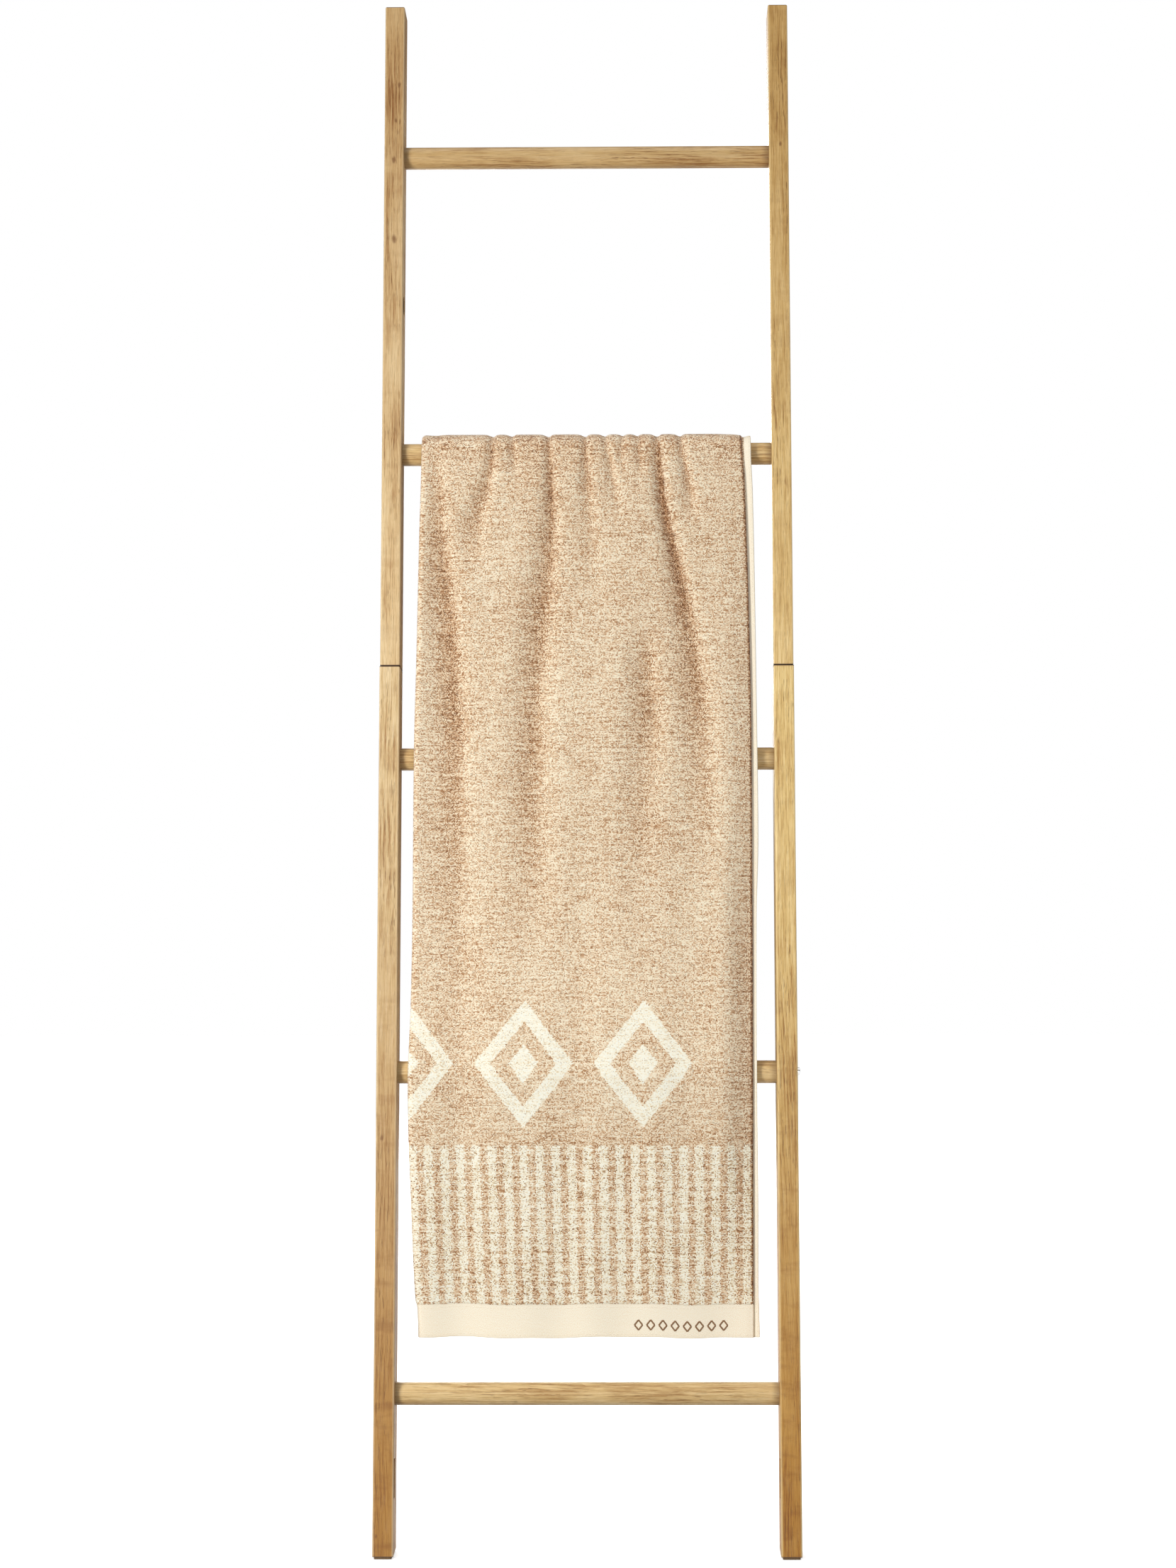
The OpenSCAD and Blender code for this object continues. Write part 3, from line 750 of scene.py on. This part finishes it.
def dress_ladder():
    """Every CAD node of the ladder gets its material; each stile is its own board of oak."""
    stiles = [                    # (node, light, middle and dark tone, knots)
        ("stile_upper_left", (234, 208, 162), (214, 181, 130), (164, 118, 68),
         [(-237, 1571, 2.6), (-232, 1768, 2.0), (-238, 1672, 2.2), (-236, 1722, 1.6)]),
        ("stile_upper_right", (240, 210, 150), (216, 180, 114), (164, 118, 60),
         [(240, 1690, 1.5)]),
        ("stile_lower_left", (236, 212, 170), (217, 187, 136), (172, 130, 80),
         [(-243, 470, 1.8), (-246, 9, 1.2)]),
        ("stile_lower_right", (248, 222, 162), (228, 195, 126), (178, 132, 68), []),
    ]
    for seed, (node, *tones, knots) in enumerate(stiles, 1):
        dress(node, oak(node + "_oak", node, seed, *(rgb(*tone) for tone in tones), knots=knots))
    turned = [rgb(234, 208, 158), rgb(216, 184, 128), rgb(164, 122, 68)]
    for i in range(1, 6):
        # Painted falloff shade: most of it on rung 1, little on the others
        dress(f"rung_{i}", oak(f"rung_{i}_oak", f"rung_{i}", len(stiles) + i, *turned,
                               run="rung", falloff_shade_weight=0.9 if i == 1 else 0.1))
    zinc = metal("zinc_look", (0.80, 0.80, 0.80, 1), (0.62, 0.62, 0.63, 1), 0.30)
    cast = metal("cast_look", (0.60, 0.60, 0.61, 1), (0.46, 0.46, 0.47, 1), 0.42)
    wood, pad = beech(), rubber()
    for node in ("rung_screws_left", "rung_screws_right", "loose_screw",
                 "joint_bolt_left", "joint_bolt_right"):
        dress(node, zinc)
    for side in ("left", "right"):
        dress(f"joint_cam_{side}", cast)
        dress(f"joint_dowels_{side}", wood)
        dress(f"foot_pad_{side}", pad)


# ---------------------------------------------------------------- the towel


def bend_with(piece):
    """Bakes the piece's transform into its mesh."""
    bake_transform(piece)


def make_towel():
    """The towel's two pieces with their stitches; rows and columns are closer where it turns."""
    face, reverse = terry("terry_look", False), terry("terry_reverse_look", True)
    columns = stations(TOWEL_W, (0.0, 0.5 * MM), (1.5 * MM, 0.9 * MM), (6 * MM, 2.7 * MM),
                       (FRONT_W, 1.2 * MM), (FRONT_W + FOLD_W, 9 * MM),
                       (TOWEL_W - 11.5 * MM, MM), (TOWEL_W - 1.5 * MM, 0.5 * MM))
    border = ((0.0, 0.5 * MM), (1.5 * MM, 6 * MM), (38 * MM, 0.8 * MM), (43 * MM, 5.6 * MM))
    front_rows = stations(TOP_V, *border, (TOP_V - 36 * MM, 2.2 * MM),
                          (TOP_V - 1.2 * MM, 0.4 * MM))
    back_rows = (TOWEL_L - stations(TOWEL_L - TOP_V, *border,
                                    (TOWEL_L - TOP_V - 40 * MM, 2.2 * MM),
                                    (TOWEL_L - TOP_V - 1.2 * MM, 0.4 * MM)))[::-1]
    sewing = thread_material("cream_thread_look", rgb(250, 240, 222), rgb(226, 206, 176))
    satin = thread_material("brown_thread_look", rgb(158, 122, 86), rgb(112, 80, 50))

    for end, rows, nodes in (("front", front_rows, ("towel_front_fall", "towel_saddle")),
                             ("back", back_rows, ("towel_back_fall",))):
        piece = cloth_piece(f"towel_{end}", rows, columns, [face, reverse])
        stitches = [hem_stitches(end, sewing), selvedge_stitches(end, rows, sewing)]
        if end == "front":
            stitches.append(embroidery(satin))
        bend_with(piece)
        for seam in stitches:
            bend_with(seam)
        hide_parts(*nodes)


def hem_stitches(end, material):
    """Two rows of stitches along a hem, on both layers."""
    pitch, inset, length, width = 4.2 * MM, 4 * MM, 3.0 * MM, 0.55 * MM
    u = np.concatenate([np.arange(inset, FRONT_W, pitch),
                        np.arange(FRONT_W + FOLD_W, TOWEL_W - inset, pitch)])
    rows = np.array([[3.2 * MM], [35.5 * MM]])
    v = rows if end == "front" else TOWEL_L - rows
    return threads(f"hem_stitches_{end}", u, v, 0.0, length, width, 0.0, material)


def selvedge_stitches(end, rows, material):
    """A row of stitches down the strip of selvedge that shows beside the front layer."""
    pitch, inset, length, width = 4.6 * MM, 2.6 * MM, 3.2 * MM, 0.5 * MM
    v = np.arange(rows[0] + 3 * MM, rows[-1] - 3 * MM, pitch)
    return threads(f"selvedge_stitches_{end}", TOWEL_W - inset, v, 0.0, length, width,
                   math.pi / 2, material, inner=True)


def embroidery(material):
    """A row of small satin-stitched diamonds near the corner of the front hem."""
    count, pitch, half_w, half_h = 8, 14.6 * MM, 4.8 * MM, 6.0 * MM
    first_u, middle_v, per_side = 36 * MM, 14.5 * MM, 9
    lift, length, width, slant = 0.1 * MM, 2.3 * MM, 0.95 * MM, math.radians(72)
    corners = [(half_w, 0), (0, half_h), (-half_w, 0), (0, -half_h)]
    u, v, heading = [], [], []
    for i in range(count):
        for (ax, ay), (bx, by) in zip(corners, corners[1:] + corners[:1]):
            for k in range(per_side):
                t = (k + 0.5) / per_side
                u.append(first_u + i * pitch + ax + (bx - ax) * t)
                v.append(middle_v + ay + (by - ay) * t)
                heading.append(math.atan2(by - ay, bx - ax) + slant)
    return threads("hem_embroidery", u, v, lift, length, width, heading, material)


# ---------------------------------------------------------------- studio

def make_camera():
    """The photograph's viewpoint: level, 3.4 m from the feet, with the ladder turned a little."""
    focal_px, distance, height, aside = 4149, 3.422, 0.903, 0.0033
    yaw, roll = math.radians(-0.81), math.radians(-0.14)
    data = bpy.data.cameras.new("camera")
    data.sensor_width = 36
    data.lens = focal_px / IMAGE_H * data.sensor_width
    camera = bpy.data.objects.new("camera", data)
    bpy.context.scene.collection.objects.link(camera)
    at = Matrix.Rotation(-yaw, 3, "Z") @ Vector((aside, -distance, height))
    camera.location = at + Vector((0, FOOT_FRONT, 0))
    forward = Matrix.Rotation(-yaw, 3, "Z") @ Vector((0, 1, 0))
    turn = forward.to_track_quat("-Z", "Y").to_matrix() @ Matrix.Rotation(roll, 3, "Z")
    camera.rotation_euler = turn.to_euler()
    bpy.context.scene.camera = camera


def area_light(name, at, target, size, power, colour=(1, 1, 1)):
    """A soft box at a place, turned to a target."""
    data = bpy.data.lights.new(name, "AREA")
    data.shape = "RECTANGLE"
    data.size, data.size_y = size
    data.energy = power
    data.color = colour
    light = bpy.data.objects.new(name, data)
    light.location = at
    light.visible_camera = False
    light.rotation_euler = (Vector(target) - Vector(at)).to_track_quat("-Z", "Y").to_euler()
    bpy.context.scene.collection.objects.link(light)


def make_studio():
    """A pale floor, soft boxes all round, and a white world that lights only a little."""
    s = Shader("floor_look", roughness=0.8, Specular_IOR_Level=0.2, Emission_Strength=0.47,
               Emission_Color=(1, 1, 1, 1))
    place = s.node("TexCoord", {}).outputs["Object"]
    cloud = s.noise(s.scaled(place, 1.5, 1.5, 1.5))
    s.colour(s.ramp(cloud, [(0.3, (0.945, 0.945, 0.94, 1)), (0.7, (0.965, 0.965, 0.96, 1))]))
    reach = 7.0
    corners = [(-reach, -reach, 0), (reach, -reach, 0), (reach, reach, 0), (-reach, reach, 0)]
    floor = new_mesh("floor", corners, [(0, 1, 2, 3)], [s.material], smooth_faces=False)
    floor.visible_diffuse = False     # a white floor would light the undersides too much

    area_light("key", (-2.0, -2.6, 1.1), (0, 0, 0.85), (0.9, 1.5), 80, (1.0, 0.99, 0.965))
    area_light("front", (0.7, -4.4, 1.4), (0, 0, 0.85), (1.6, 1.8), 40)
    area_light("right", (3.3, 1.0, 1.5), (0, 0, 0.9), (1.2, 1.8), 30)
    area_light("back", (-1.0, 4.0, 1.8), (0, 0, 0.9), (1.8, 1.8), 120)
    sun = bpy.data.lights.new("floor_sun", "SUN")
    sun.energy, sun.angle = 1.2, math.radians(40)
    over = bpy.data.objects.new("floor_sun", sun)
    bpy.context.scene.collection.objects.link(over)

    world = bpy.data.worlds.new("world")
    world.use_nodes = True
    bpy.context.scene.world = world
    tree = world.node_tree
    background = tree.nodes["Background"]
    background.inputs["Color"].default_value = (1, 1, 1, 1)
    ray = tree.nodes.new("ShaderNodeLightPath")
    level = tree.nodes.new("ShaderNodeMapRange")
    level.inputs["To Min"].default_value = 0.2
    level.inputs["To Max"].default_value = 1.0
    tree.links.new(ray.outputs["Is Camera Ray"], level.inputs["Value"])
    tree.links.new(level.outputs[0], background.inputs["Strength"])
    bpy.context.scene.view_settings.view_transform = "Standard"


make_camera()
make_studio()
dress_ladder()
make_towel()

bpy.context.view_layer.update()
